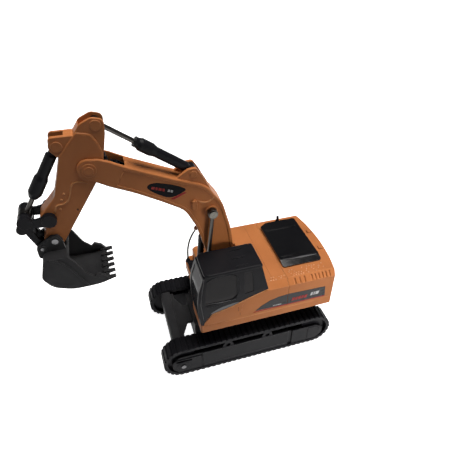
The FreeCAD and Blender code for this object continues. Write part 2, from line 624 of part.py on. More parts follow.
def boom_shell():
    """The left half of the boom: a shell in the middle, a solid foot and a forked nose."""
    body = side(BOOM_OUTLINE, 0, BOOM_HALF)
    foot = rod_y(BOOM_FOOT, 6.4, 0, BOOM_HALF)
    nose = rod_y(STICK_PIVOT, 7.1, 0, BOOM_HALF)
    body = fuse(body, foot, nose)
    body = soften(body, 0.9, lambda e: abs(e.CenterOfMass.y - BOOM_HALF) < 1e-4)
    room = side(BOOM_OUTLINE, 0, BOOM_HALF - BOOM_WALL, BOOM_WALL).common(box(-10, 74.4, -1, 10, 72, 200))
    slot = box(76, 120, -1, STICK_HALF + 0.35, 150, 200)
    window = side([(70, 163.5), (77, 166), (77, 177.4), (70, 174.6)], -1, 5.6)
    body = body.cut([room, slot, window])
    weld = side([(-5, 75), (60, 75), (85.5, 163), (78.5, 176.5), (70, 200), (-5, 200)], 0, 20)
    panel = side(BOOM_OUTLINE, BOOM_HALF - 0.5, BOOM_HALF + 1, 2.4).common(weld)
    body = body.cut(panel)
    ear = side([(45.5, 165), (36.8, 170.9, 3), (31.2, 171.4, 3), (27.4, 165, 3), (21, 152), (40, 160)],
               4.2, 6.4)
    ear_boss = rod_y(STICK_CYLINDER_FOOT, 2.3, 6.4, 7.1)
    boss = rod_y(BOOM_CYLINDER_TOP, 4.3, BOOM_HALF - 1.5, 8.9)
    peg = side([(32.2, 139.6, 1.8), (35.8, 139.6, 1.8), (35.8, 147.6, 1.8), (32.2, 147.6, 1.8)], 6.5, 9.4)
    screw_posts = [rod_y(spot, 2.6, 0, BOOM_HALF - 1.2) for spot in BOOM_SCREWS]
    pivot_boss = fuse(rod_y(STICK_PIVOT, 4.5, BOOM_HALF - 1, BOOM_HALF + 0.5),
                      rod_y(STICK_PIVOT, 2.7, BOOM_HALF, BOOM_HALF + 1.2))
    body = fuse(body, ear, ear_boss, boss, peg, pivot_boss, *screw_posts)
    cuts = [rod_y(BOOM_FOOT, 2.0 + RUNNING, -1, 20), rod_y(STICK_PIVOT, 2.0, -1, BOOM_HALF - 0.5)]
    cuts += [rod_y(STICK_CYLINDER_FOOT, 1.4, -1, 5.6), rod_y(BOOM_CYLINDER_TOP, LIFT_PIN_RADIUS, -1, 20)]
    cuts += [rod_y(spot, 1.0, -1, 6) for spot in BOOM_SCREWS]
    return body.cut(cuts)


def boom_screws():
    """Screws that hold the boom halves together, and the fixed pins that the halves trap."""
    screws = [rod_y(spot, 1.0, -6.0, 6.0) for spot in BOOM_SCREWS]
    pivot = rod_y(STICK_PIVOT, 2.0, -BOOM_HALF + 0.5, BOOM_HALF - 0.5)
    foot_pin = rod_y(STICK_CYLINDER_FOOT, 1.4, -5.6, 5.6)
    heads = both(rod_y(BOOM_CYLINDER_TOP, 2.9, 13.0, 13.7))
    lift_pin = fuse(rod_y(BOOM_CYLINDER_TOP, LIFT_PIN_RADIUS, -13.0, 13.0), *heads)
    return group(pivot, foot_pin, lift_pin, *screws)


def stick_motor():
    """Gear motor inside the boom; its two cheeks reach out to carry the small pinion."""
    gearbox = side([(48, 152.9, 1), (68.5, 165.4, 1), (66, 173.2, 1), (45.6, 160.8, 1)], -5.2, 5.2)
    gearbox = gearbox.cut(rod_y((48, 157.5), 3.0, -6, 6))
    cheek = side([(62, 164.6), (66.5, 165.4), (84.4, 172.6, 2), (84.4, 180.4, 2), (80, 179.4), (72.5, 174.2),
                  (64, 170.6)], 4.2, 5.2)
    cheeks = [c.cut(rod_y((72, 166), 2.9, -6, 6)) for c in both(cheek)]
    return fuse(gearbox, *cheeks).cut(rod_y(STICK_PINION, 1.2 + RUNNING, -6, 6))


def stick_pinion():
    phase = PINION_ANGLE + math.pi + math.pi / STICK_PINION_TEETH
    corners = [(a + STICK_PINION[0], b + STICK_PINION[1])
               for a, b in gear_outline(STICK_PINION_TEETH, STICK_MODULE, phase)]
    return fuse(side(corners, -3.4, 3.4), rod_y(STICK_PINION, 1.2, -5.2, 5.2))


def stick_gear():
    corners = [(a + STICK_PIVOT[0], b + STICK_PIVOT[1])
               for a, b in gear_outline(STICK_GEAR_TEETH, STICK_MODULE, PINION_ANGLE)]
    hub = rod_y(STICK_PIVOT, 6.0, -4.2, 4.2)
    return fuse(side(corners, -3.3, 3.3), hub).cut(rod_y(STICK_PIVOT, 2.0 + RUNNING, -9, 9))


# ---- stick -----------------------------------------------------------------------------------
STICK_OUTLINE = [(100.4, 206.0, 1.8), (92.4, 203.8, 3), (89.0, 197.4, 6), (86.4, 186, 20), (95.2, 170.6, 60),
                 (119.8, 134.2, 0), (121.5, 131.6), (134.2, 134.5), (131.4, 142.5, 6), (133.0, 152.8, 2.5),
                 (121.4, 165.2, 8), (116.8, 178.5, 30), (112.4, 192.6, 3)]
LUG_HALF = 5.0
STICK_SCREWS = [(100.5, 196.0), (110.6, 155.5), (113.5, 172.0)]


def stick_shell():
    """The left half of the stick, with half of each forked lug on its top."""
    main = fuse(side(STICK_OUTLINE, 0, STICK_HALF), rod_y(BUCKET_PIVOT, 6.6, 0, STICK_HALF))
    main = soften(main, 0.8, lambda e: abs(e.CenterOfMass.y - STICK_HALF) < 1e-4)
    room = side(STICK_OUTLINE, 0, STICK_HALF - STICK_WALL, STICK_WALL).common(box(80, 140, -1, 10, 143, 210))
    rear_lug = side([(103.6, 202), (97.8, 210.2, 4), (90.5, 213.6, 5), (83.6, 211.6, 3.5), (84.2, 203, 5),
                     (87.4, 188), (98, 192)], 0, LUG_HALF)
    rear_lug = soften(rear_lug, 0.6, lambda e: abs(e.CenterOfMass.y - LUG_HALF) < 1e-4)
    rear_fork = side([(80, 188), (86.6, 188), (87.4, 200), (93.5, 205.8), (98.5, 206.5), (98.5, 216),
                      (80, 216)], -1, 3.7)
    front_lug = side([(100.5, 202.6), (103, 204.2, 2), (116.2, 204.4, 2.5), (117.2, 196, 4), (113.4, 191.4, 2),
                      (106, 190)], 0, LUG_HALF)
    front_lug = soften(fuse(front_lug, rod_y(BUCKET_CYLINDER_FOOT, 4.6, 0, LUG_HALF)), 0.6,
                       lambda e: abs(e.CenterOfMass.y - LUG_HALF) < 1e-4)
    front_fork = side([(107.6, 210), (107.6, 197.2), (111.2, 191), (125, 188), (125, 210)], -1, 2.8)
    body = fuse(main, rear_lug, front_lug).cut([room, rear_fork, front_fork])
    caps = [rod_y(STICK_CYLINDER_TOP, 3.3, 4.0, LUG_HALF + 0.6),
            rod_y(BUCKET_CYLINDER_FOOT, 3.2, 4.4, LUG_HALF + 0.6)]
    rocker_boss = rod_y(ROCKER_PIVOT, 3.0, 4.0, STICK_HALF)
    posts = [rod_y(spot, 2.3, 0, STICK_HALF - 1) for spot in STICK_SCREWS]
    body = fuse(body, *caps, rocker_boss, *posts)
    gear_room = rod_y(STICK_PIVOT, STICK_MODULE * (STICK_GEAR_TEETH / 2 + 0.8) + 0.5, -1, 3.9)
    cuts = [gear_room, rod_y(STICK_PIVOT, 6.0, -1, 4.2), rod_y(STICK_PIVOT, 2.0 + RUNNING, -1, 9),
            rod_y(BUCKET_PIVOT, 1.6 + RUNNING, -1, 9), rod_y(ROCKER_PIVOT, 1.6 + RUNNING, -1, 9),
            rod_y(BUCKET_CYLINDER_FOOT, 1.2, -1, 4.4)]
    cuts += [rod_y(spot, 0.9, -1, 4.5) for spot in STICK_SCREWS]
    return body.cut(cuts)


def stick_screws():
    screws = [rod_y(spot, 0.9, -4.5, 4.5) for spot in STICK_SCREWS]
    return group(rod_y(BUCKET_CYLINDER_FOOT, 1.2, -4.4, 4.4), *screws)


def bucket_motor():
    """Gear motor inside the stick; the rocker's shaft runs through its output end."""
    housing = side([(115.2, 154.6, 1), (124.5, 147.2, 1), (130.0, 148.4, 2), (128.6, 153.4, 2), (120.0, 162.4, 3),
                    (116.4, 167.6, 1), (110.4, 164.4, 1)], -4.0, 4.0)
    return housing.cut(rod_y(ROCKER_PIVOT, 1.6 + RUNNING, -9, 9))


# ---- cylinders -------------------------------------------------------------------------------
def lift_barrel():
    foot, top, y = BARREL_FOOT, BOOM_CYLINDER_TOP, BOOM_CYLINDER_Y
    tube = turned(foot, top, y, [(2.0, 2.2), (4.0, 2.6), (35.5, 2.6), (36.0, 2.7), (41.5, 2.7)])
    body = fuse(tube, rod_y(foot, 3.0, y - 2.0, y + 2.0))
    bore = turned(foot, top, y, [(6.0, 1.4 + RUNNING), (42.0, 1.4 + RUNNING)])
    return body.cut([bore, rod_y(foot, 1.4 + RUNNING, 0, 20)])


def lift_rod():
    foot, top, y = BARREL_FOOT, BOOM_CYLINDER_TOP, BOOM_CYLINDER_Y
    length = math.dist(foot, top)
    shaft = turned(foot, top, y, [(22.0, 1.4), (length - 2.6, 1.4)])
    return fuse(shaft, rod_y(top, 3.6, 9.2, 12.7)).cut(rod_y(top, LIFT_EYE_RADIUS, 5, 20))


def stick_barrel():
    foot, top = STICK_CYLINDER_FOOT, STICK_CYLINDER_TOP
    tube = turned(foot, top, 0, [(2.6, 2.6), (5.0, 3.4), (28.0, 3.4), (31.5, 4.3), (39.0, 4.3), (41.0, 3.4),
                                 (43.3, 3.4)])
    body = fuse(tube, rod_y(foot, 3.4, -3.8, 3.8))
    bore = turned(foot, top, 0, [(8.0, 1.6 + RUNNING), (44.0, 1.6 + RUNNING)])
    return body.cut([bore, rod_y(foot, 1.4 + RUNNING, -9, 9)])


def stick_rod():
    foot, top = STICK_CYLINDER_FOOT, STICK_CYLINDER_TOP
    shaft = turned(foot, top, 0, [(24.0, 1.6), (math.dist(foot, top) - 1, 1.6)])
    return fuse(shaft, rod_y(top, 2.8, -3.3, 3.3))


def bucket_barrel():
    foot, top = BUCKET_CYLINDER_FOOT, ROCKER_END
    tube = turned(foot, top, 0, [(2.0, 2.4), (7.0, 2.4), (8.5, 3.4), (23.0, 3.4), (26.0, 4.3), (36.5, 4.3),
                                 (40.0, 2.8)])
    body = fuse(tube, rod_y(foot, 2.9, -2.5, 2.5))
    bore = turned(foot, top, 0, [(10.0, 1.5 + RUNNING), (41.0, 1.5 + RUNNING)])
    return body.cut([bore, rod_y(foot, 1.2 + RUNNING, -9, 9)])


def bucket_rod():
    foot, top = BUCKET_CYLINDER_FOOT, ROCKER_END
    shaft = turned(foot, top, 0, [(21.0, 1.5), (math.dist(foot, top) - 3.4, 1.5)])
    return fuse(shaft, rod_y(top, 4.4, -2.8, 2.8)).cut(rod_y(top, 3.1, -9, 9))


# ---- rocker, link and bucket -----------------------------------------------------------------
ARM_INNER, ARM_OUTER = 6.2, 8.4


def rocker():
    """Two arms outside the stick, with round knobs on their shaft and a cross pin at their tips."""
    arm = side([(127.0, 146.6), (134, 146.8, 6), (142.2, 147.7), (142.2, 156.3), (137.2, 152.4, 5),
                (132, 153.4, 5),
                (127.0, 155.4)], ARM_INNER, ARM_OUTER)
    hub = rod_y(ROCKER_PIVOT, 4.6, ARM_INNER, ARM_OUTER + 1.6)
    tip = rod_y(ROCKER_END, 4.4, ARM_INNER, ARM_OUTER + 0.8)
    shaft = rod_y(ROCKER_PIVOT, 1.6, -ARM_INNER - 0.5, ARM_INNER + 0.5)
    cross_pin = rod_y(ROCKER_END, 1.5, -ARM_INNER - 0.5, ARM_INNER + 0.5)
    return fuse(*both(arm), *both(hub), *both(tip), shaft, cross_pin)


LINK_LOBE = (145.4, 145.0)


def h_link():
    """Two lobed arms from the rocker's tip to the bucket ears, joined by a short bridge."""
    start, end = ROCKER_END, LINK_PIN
    arm = side([(138.0, 151.5), (137.9, 147, 3), (139.6, 143.0, 4), (137.6, 136.5, 4), (133.9, 130.6),
                (139.2, 128.9),
                (143.6, 140.8, 1.5), (146.0, 152)], 3.3, 5.9)
    arm = fuse(arm, rod_y(start, 4.2, 3.3, 5.9), rod_y(LINK_LOBE, 3.5, 3.3, 5.9), rod_y(end, 2.9, 3.3, 5.9))
    bridge = side([(138.4, 135.4, 1), (141.2, 134.6, 1), (143.2, 140.0, 1), (139.8, 141.2, 1)], -3.4, 3.4)
    body = fuse(*both(arm), bridge)
    return body.cut([rod_y(start, 1.5 + RUNNING, -9, 9), rod_y(end, 2.1, -9, 9)])


BUCKET_SCOOP = [(137.0, 126.6, 2.5), (139.0, 119.5, 10), (141.3, 112.0, 6), (136.2, 102.6, 12), (123.5, 97.4, 25),
                (104.5, 97.7, 30), (98.6, 99.9)]
BUCKET_MOUTH = [(108.4, 105.1, 10), (113.8, 110.6, 14), (118.6, 121.5, 14), (122.4, 126.6, 1)]
EAR_INNER, EAR_OUTER = 6.2, 8.6
TOOTH_COUNT = 6


def bucket():
    """The scoop with side plates, ribs, six teeth and the two ears that it hangs by."""
    outer = side(BUCKET_SCOOP + BUCKET_MOUTH, -BUCKET_HALF, BUCKET_HALF)
    room = side(BUCKET_SCOOP + [(88, 112), (112, 150)], -BUCKET_HALF + 1.5, BUCKET_HALF - 1.5, 1.6)
    hollow = room.common(box(80, 160, -20, 20, 90, 124.9))
    scoop = outer.cut([hollow, rod_y(LINK_PIN, 4.3, -EAR_INNER, EAR_INNER)])
    ear = side([(122.6, 125.5), (123.4, 134.8, 3), (125.2, 138.2, 2.5), (129.8, 138.2, 3), (140.2, 131.4, 3.5),
                (140.2, 122.6, 2), (134, 120.5, 2)], EAR_INNER, EAR_OUTER)
    bosses = [rod_y(BUCKET_PIVOT, 3.0, EAR_OUTER - 1, EAR_OUTER + 0.5),
              rod_y(LINK_PIN, 2.6, EAR_OUTER - 1, EAR_OUTER + 0.6)]
    ear = fuse(ear, *bosses)
    rib = side([(133.4, 126.2), (127.6, 122.6, 8), (122.6, 116.4, 8), (118.6, 107.4, 8), (114.4, 98.4),
                (112.8, 98.4),
                (117.2, 107.6, 8), (121.4, 117.2, 8), (126.6, 123.8, 8), (131.6, 127.2)],
               BUCKET_HALF - 0.5, BUCKET_HALF + 0.6)
    rib = rib.common(side(BUCKET_SCOOP + BUCKET_MOUTH, 10, 20))
    cutter = side([(98.2, 99.8), (108.6, 104.9), (106.4, 107.4, 1), (101.6, 105.0, 1)],
                  BUCKET_HALF - 1.9, BUCKET_HALF + 0.5)
    teeth = []
    spacing = (2 * BUCKET_HALF - 3.6) / (TOOTH_COUNT - 1)
    for i in range(TOOTH_COUNT):
        middle = -BUCKET_HALF + 1.8 + i * spacing
        teeth.append(side([(104.0, 98.4), (101.2, 98.9), (94.2, 100.4, 0.4), (94.4, 101.6, 0.4), (102.6, 101.6)],
                          middle - 1.25, middle + 1.25))
    body = fuse(scoop, *both(ear), *both(rib), *both(cutter), *teeth)
    return body.cut([rod_y(BUCKET_PIVOT, 1.6, -12, 12), rod_y(LINK_PIN, 1.2, -12, 12)])


def bucket_pins():
    """Chrome pins fixed in the bucket's ears: the pivot in the stick, and the link's pin."""
    pivot = fuse(rod_y(BUCKET_PIVOT, 1.6, -9.1, 9.1), *both(rod_y(BUCKET_PIVOT, 2.1, 9.1, 9.6)))
    link_pin = rod_y(LINK_PIN, 1.2, -9.2, 9.2)
    return group(pivot, link_pin)


# ---- cable -----------------------------------------------------------------------------------
CABLE_ROUTE = [(33.6, -34.0, 57.1), (33.6, -33.9, 64.4), (33.3, -31.5, 73.2), (32.6, -27.5, 82.6),
               (31.8, -22.0, 91.7), (31.1, -15.5, 100.8), (30.7, -9.5, 108.0), (31.3, -4.5, 113.1)]


def cable():
    """A tube along the route: straight runs joined by arcs of 0.45 of the shorter run beside them."""
    spots = [Vector(*p) for p in CABLE_ROUTE]
    edges = []
    start = spots[0]
    for before, corner, after in zip(spots, spots[1:], spots[2:]):
        back, ahead = before - corner, after - corner
        reach = 0.45 * min(back.Length, ahead.Length)
        half_turn = (math.pi - back.getAngle(ahead)) / 2
        radius = reach / math.tan(half_turn)
        print("cable arc radius", round(radius, 1))
        back.normalize()
        ahead.normalize()
        inward = (back + ahead).normalize()
        middle = corner + inward * (radius / math.cos(half_turn) - radius)
        arc_start, arc_end = corner + back * reach, corner + ahead * reach
        edges.append(Part.LineSegment(start, arc_start).toShape())
        edges.append(Part.Arc(arc_start, middle, arc_end).toShape())
        start = arc_end
    edges.append(Part.LineSegment(start, spots[-1]).toShape())
    path = Part.Wire(edges)
    ring = Part.Wire(Part.Circle(spots[0], spots[1] - spots[0], CABLE_DIAMETER / 2).toShape())
    tube = path.makePipeShell([ring], True, False)
    section = math.pi * CABLE_DIAMETER ** 2 / 4
    print("cable length", round(path.Length, 1), "volume / (section x length)",
          round(tube.Volume / (section * path.Length), 4))
    return tube


# ---- all pieces ------------------------------------------------------------------------------
def boom_shell_right():
    """The mirrored boom half, with the little socket on its belly that the cable plugs into."""
    end = Vector(*CABLE_ROUTE[-1])
    socket = Part.makeCylinder(1.6, 3.6, end, end - Vector(*CABLE_ROUTE[-2]))
    return fuse(mirrored(boom_shell()), socket)


def left_and_right(name, shape):
    return {name + "_left": shape, name + "_right": mirrored(shape)}


def pieces():
    nodes = {
        "chassis_frame": chassis_frame(),
        "chassis_cover": chassis_cover(),
        "chassis_screws": chassis_screws(),
        "idler_axles": group(*both(idler_axle())),
        "slew_ring": slew_ring(),
        "slew_pinion": slew_pinion(),
        "slew_motor": slew_motor(),
        "house_base": house_base(),
        "front_shell": front_shell(),
        "rear_shell": rear_shell(),
        "battery_hatch": battery_hatch(),
        "battery_pack": battery_pack(),
        "circuit_board": circuit_board(),
        "tool_box": tool_box(),
        "step_plate": step_plate(),
        "exhaust_stub": exhaust_stub(),
        "cable_grommet": cable_grommet(),
        "house_screws": house_screws(),
        "power_switch": power_switch(),
        "cab_body": cab_body(),
        "cab_roof": cab_roof(),
        "windshield": windshield(),
        "cab_windows": cab_windows(),
        "cab_seat": cab_seat(),
        "boom_bracket": boom_bracket(),
        "boom_pins": boom_pins(),
        "boom_screws": boom_screws(),
        "stick_motor": stick_motor(),
        "stick_pinion": stick_pinion(),
        "stick_gear": stick_gear(),
        "stick_screws": stick_screws(),
        "bucket_motor": bucket_motor(),
        "stick_barrel": stick_barrel(),
        "stick_rod": stick_rod(),
        "bucket_barrel": bucket_barrel(),
        "bucket_rod": bucket_rod(),
        "rocker": rocker(),
        "h_link": h_link(),
        "bucket": bucket(),
        "bucket_pins": bucket_pins(),
        "cable": cable(),
    }
    for name, shape in (
        ("belt", belt()),
        ("sprocket", sprocket()),
        ("idler", idler()),
        ("track_frame", track_frame()),
        ("drive_motor", drive_motor()),
        ("boom_shell", boom_shell()),
        ("stick_shell", stick_shell()),
        ("lift_barrel", lift_barrel()),
        ("lift_rod", lift_rod()),
    ):
        nodes.update(left_and_right(name, shape))
    nodes["boom_shell_right"] = boom_shell_right()
    return nodes


os.makedirs("parts", exist_ok=True)
for name, shape in pieces().items():
    solids = shape.Solids
    loose = [s for s in solids if not s.isValid() or s.Volume < 1.0]
    mark = "CHECK" if loose else ""
    print(f"{name:22s} solids {len(solids):2d} volume {shape.Volume / 1000:8.3f} cm3", mark)
    shape.exportStep(os.path.join("parts", name + ".step"))
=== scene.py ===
import json
import math
import random

import bmesh
import bpy
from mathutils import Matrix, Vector


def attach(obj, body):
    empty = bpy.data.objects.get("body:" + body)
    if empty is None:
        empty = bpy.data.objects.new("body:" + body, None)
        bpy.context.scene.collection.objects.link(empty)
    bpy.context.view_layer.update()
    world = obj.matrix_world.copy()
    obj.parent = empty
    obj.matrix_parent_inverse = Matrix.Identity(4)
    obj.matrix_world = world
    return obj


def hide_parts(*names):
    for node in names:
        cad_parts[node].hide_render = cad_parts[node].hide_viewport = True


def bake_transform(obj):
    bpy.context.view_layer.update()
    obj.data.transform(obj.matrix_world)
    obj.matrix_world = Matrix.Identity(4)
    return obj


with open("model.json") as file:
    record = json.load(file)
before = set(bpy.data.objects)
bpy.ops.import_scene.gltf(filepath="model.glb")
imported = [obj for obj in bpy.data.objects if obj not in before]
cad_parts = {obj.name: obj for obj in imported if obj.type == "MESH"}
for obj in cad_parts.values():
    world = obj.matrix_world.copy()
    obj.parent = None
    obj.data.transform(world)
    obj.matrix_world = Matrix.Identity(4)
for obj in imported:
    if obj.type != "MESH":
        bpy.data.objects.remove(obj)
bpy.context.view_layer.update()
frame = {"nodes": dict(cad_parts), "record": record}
nodes = frame["nodes"]
scene = bpy.context.scene
MM = 0.001

# ---- camera ----------------------------------------------------------------------------------
# Where the camera stands, in metres, and the direction from its target back to it.
CAMERA_SPOT = Vector((0.0849, 0.2491, 0.3170))
CAMERA_BACK = Vector((0.230, 0.754, 0.616))
LENS = 34.73
SENSOR_WIDTH = 36

camera = bpy.data.objects.new("camera", bpy.data.cameras.new("camera"))
scene.collection.objects.link(camera)
camera.data.lens = LENS
camera.data.sensor_width = SENSOR_WIDTH
camera.data.clip_start = 0.01
camera.location = CAMERA_SPOT
camera.rotation_mode = "QUATERNION"
camera.rotation_quaternion = (-CAMERA_BACK).to_track_quat("-Z", "Y")
scene.camera = camera


# ---- materials -------------------------------------------------------------------------------
NOISE_LOW = 0.3
NOISE_HIGH = 0.7
MOTTLE_SCALE = 45
GLOSS_SCALE = 160
SKIN_SCALE = 2600
SKIN_DEPTH = 0.0002
WEAR_AND_HIGHLIGHT_WIDTH = 0.0006
WEAR_AND_HIGHLIGHT_START = 0.98
WEAR_AND_HIGHLIGHT_FULL = 0.75
WEAR_AND_HIGHLIGHT_SHARE = 0.6
METAL_TONE_SCALE = 300
METAL_GLOSS_SCALE = 900
METAL_GRAIN_SCALE = 1500
METAL_GRAIN_DEPTH = 0.00005
METAL_SHADE = 0.75
GLAZING_ROUGH = (0.05, 0.12)


def new_material(name):
    """A material, its node tree and its shader."""
    material = bpy.data.materials.new(name)
    material.use_nodes = True
    tree = material.node_tree
    return material, tree, tree.nodes["Principled BSDF"]


def noise(tree, scale, detail=3.0, stretch=None):
    """Noise in the object's own coordinates, which are the shared frame's, in metres."""
    place = tree.nodes.new("ShaderNodeTexCoord")
    source = place.outputs["Object"]
    if stretch:
        mapping = tree.nodes.new("ShaderNodeMapping")
        mapping.inputs["Scale"].default_value = stretch
        tree.links.new(source, mapping.inputs["Vector"])
        source = mapping.outputs["Vector"]
    texture = tree.nodes.new("ShaderNodeTexNoise")
    texture.inputs["Scale"].default_value = scale
    texture.inputs["Detail"].default_value = detail
    tree.links.new(source, texture.inputs["Vector"])
    return texture.outputs["Fac"]


def spread(tree, source, low, high):
    """Maps noise, which mostly stays between NOISE_LOW and NOISE_HIGH, onto low to high."""
    node = tree.nodes.new("ShaderNodeMapRange")
    node.inputs["From Min"].default_value = NOISE_LOW
    node.inputs["From Max"].default_value = NOISE_HIGH
    node.inputs["To Min"].default_value = low
    node.inputs["To Max"].default_value = high
    tree.links.new(source, node.inputs["Value"])
    return node.outputs["Result"]


def two_tone(tree, source, dark, light):
    """A colour that noise moves between dark and light."""
    ramp = tree.nodes.new("ShaderNodeValToRGB")
    ramp.color_ramp.elements[0].position = NOISE_LOW
    ramp.color_ramp.elements[1].position = NOISE_HIGH
    ramp.color_ramp.elements[0].color = (*dark, 1)
    ramp.color_ramp.elements[1].color = (*light, 1)
    tree.links.new(source, ramp.inputs["Fac"])
    return ramp.outputs["Color"]


def relief(tree, shader, height, distance, strength, edge=0.0):
    """Bump from a height, over edges that are rounded in shading by edge."""
    bump = tree.nodes.new("ShaderNodeBump")
    bump.inputs["Distance"].default_value = distance
    bump.inputs["Strength"].default_value = strength
    tree.links.new(height, bump.inputs["Height"])
    if edge:
        bevel = tree.nodes.new("ShaderNodeBevel")
        bevel.inputs["Radius"].default_value = edge
        tree.links.new(bevel.outputs["Normal"], bump.inputs["Normal"])
    tree.links.new(bump.outputs["Normal"], shader.inputs["Normal"])


def edge_wear_and_highlight(tree, color, wear_and_highlight_tone, edge):
    """Mixes a lighter tone in near edges, where the rounded normal turns away from the true one: edge
    wear on the dark plastics and rubber, and a painted highlight along the orange's edges.
    """
    bevel = tree.nodes.new("ShaderNodeBevel")
    bevel.inputs["Radius"].default_value = edge
    geometry = tree.nodes.new("ShaderNodeNewGeometry")
    dot = tree.nodes.new("ShaderNodeVectorMath")
    dot.operation = "DOT_PRODUCT"
    tree.links.new(bevel.outputs["Normal"], dot.inputs[0])
    tree.links.new(geometry.outputs["Normal"], dot.inputs[1])
    share = tree.nodes.new("ShaderNodeMapRange")
    share.inputs["From Min"].default_value = WEAR_AND_HIGHLIGHT_START
    share.inputs["From Max"].default_value = WEAR_AND_HIGHLIGHT_FULL
    share.inputs["To Max"].default_value = WEAR_AND_HIGHLIGHT_SHARE
    tree.links.new(dot.outputs["Value"], share.inputs["Value"])
    mix = tree.nodes.new("ShaderNodeMix")
    mix.data_type = "RGBA"
    mix.inputs["B"].default_value = (*wear_and_highlight_tone, 1)
    tree.links.new(share.outputs["Result"], mix.inputs["Factor"])
    tree.links.new(color, mix.inputs["A"])
    return mix.outputs["Result"]


def moulded(name, dark, light, rough, grain=0.25, edge=0.0005, coat=0.0, wear_and_highlight_tone=None, shine=0.16):
    """Moulded plastic: faint mottling, uneven gloss, a fine skin texture and softened edges."""
    material, tree, shader = new_material(name)
    color = two_tone(tree, noise(tree, MOTTLE_SCALE, 4), dark, light)
    if wear_and_highlight_tone:
        color = edge_wear_and_highlight(tree, color, wear_and_highlight_tone, WEAR_AND_HIGHLIGHT_WIDTH)
    tree.links.new(color, shader.inputs["Base Color"])
    gloss = spread(tree, noise(tree, GLOSS_SCALE, 5), *rough)
    tree.links.new(gloss, shader.inputs["Roughness"])
    shader.inputs["Specular IOR Level"].default_value = shine
    shader.inputs["Coat Weight"].default_value = coat
    shader.inputs["Coat Roughness"].default_value = 0.15
    relief(tree, shader, noise(tree, SKIN_SCALE, 2), SKIN_DEPTH, grain, edge)
    return material


def metal(name, color, rough, stretch, edge=0.0002):
    """Bare metal with a slight unevenness, which stretch can draw out into streaks."""
    material, tree, shader = new_material(name)
    shader.inputs["Metallic"].default_value = 1.0
    dark = tuple(c * METAL_SHADE for c in color)
    tone = two_tone(tree, noise(tree, METAL_TONE_SCALE, 4, stretch), dark, color)
    tree.links.new(tone, shader.inputs["Base Color"])
    gloss = spread(tree, noise(tree, METAL_GLOSS_SCALE, 4, stretch), *rough)
    tree.links.new(gloss, shader.inputs["Roughness"])
    relief(tree, shader, noise(tree, METAL_GRAIN_SCALE, 3, stretch), METAL_GRAIN_DEPTH, 0.3, edge)
    return material


def glazing(name, dark, light, alpha, shine=0.12):
    """Smooth window plastic; alpha is the share of what is behind it that it hides."""
    material, tree, shader = new_material(name)
    tree.links.new(two_tone(tree, noise(tree, 20, 2), dark, light), shader.inputs["Base Color"])
    tree.links.new(spread(tree, noise(tree, 90, 3), *GLAZING_ROUGH), shader.inputs["Roughness"])
    shader.inputs["Alpha"].default_value = alpha
    shader.inputs["Specular IOR Level"].default_value = shine
    return material


ORANGE_DARK = (0.46, 0.160, 0.050)
ORANGE_LIGHT = (0.54, 0.192, 0.062)
# The orange's lighter edge tone is a painted highlight along its edges.
orange = moulded("orange_plastic", ORANGE_DARK, ORANGE_LIGHT, (0.36, 0.52), 0.2, 0.0006,
                 wear_and_highlight_tone=(0.90, 0.44, 0.19))
black = moulded("black_plastic", (0.007, 0.007, 0.009), (0.012, 0.012, 0.014), (0.30, 0.42), 0.15,
                wear_and_highlight_tone=(0.045, 0.045, 0.050), shine=0.08)
gloss = moulded("gloss_black", (0.004, 0.004, 0.005), (0.007, 0.007, 0.008), (0.08, 0.16), 0.05,
                coat=0.3, shine=0.4)
grey = moulded("dark_grey_plastic", (0.026, 0.026, 0.028), (0.042, 0.042, 0.044), (0.50, 0.68), 0.5,
               wear_and_highlight_tone=(0.10, 0.10, 0.10), shine=0.13)
white = moulded("white_plastic", (0.62, 0.62, 0.58), (0.75, 0.75, 0.72), (0.4, 0.5))
rubber = moulded("track_rubber", (0.005, 0.005, 0.007), (0.010, 0.010, 0.012), (0.45, 0.62), 0.4,
                 wear_and_highlight_tone=(0.022, 0.022, 0.026), shine=0.11)
sheath = moulded("cable_sheath", (0.004, 0.004, 0.005), (0.008, 0.008, 0.009), (0.40, 0.52), 0.1,
                 shine=0.08)
wrap = moulded("blue_wrap", (0.010, 0.045, 0.22), (0.02, 0.07, 0.32), (0.2, 0.3))
board = moulded("board_green", (0.010, 0.10, 0.03), (0.02, 0.16, 0.05), (0.3, 0.4))
rods = metal("rod_metal", (0.085, 0.08, 0.075), (0.28, 0.42), (1, 1, 1))
label_black = moulded("label_black", (0.003, 0.003, 0.004), (0.005, 0.005, 0.006), (0.35, 0.45), 0.05,
                      shine=0.05)
charcoal = moulded("decal_grey", (0.020, 0.020, 0.022), (0.030, 0.030, 0.032), (0.25, 0.35), 0.05)
red = moulded("decal_red", (0.34, 0.018, 0.016), (0.42, 0.026, 0.022), (0.25, 0.35), 0.05)
pale = moulded("decal_white", (0.50, 0.50, 0.50), (0.62, 0.62, 0.62), (0.25, 0.35), 0.05)
# Dark orange: for seams and hinge gaps, and as painted shade at the feet of the hatch's lugs and in the
# stick's screw holes.
seam_and_shade_dark = moulded("seam_and_shade_dark", (0.10, 0.035, 0.012), (0.14, 0.05, 0.018), (0.5, 0.6), 0.1)
# Painted highlight: a lighter orange for beads, lugs and edges that catch the light.
highlight_orange = moulded("highlight_orange", (0.62, 0.27, 0.10), (0.72, 0.33, 0.14), (0.35, 0.5), 0.1)
# Painted highlight: the anti-slip studs in a still lighter orange, so that they show as bright specks.
stud_highlight_orange = moulded("stud_highlight_orange", (0.80, 0.45, 0.24), (0.94, 0.60, 0.36), (0.3, 0.45), 0.1,
                      shine=0.25)
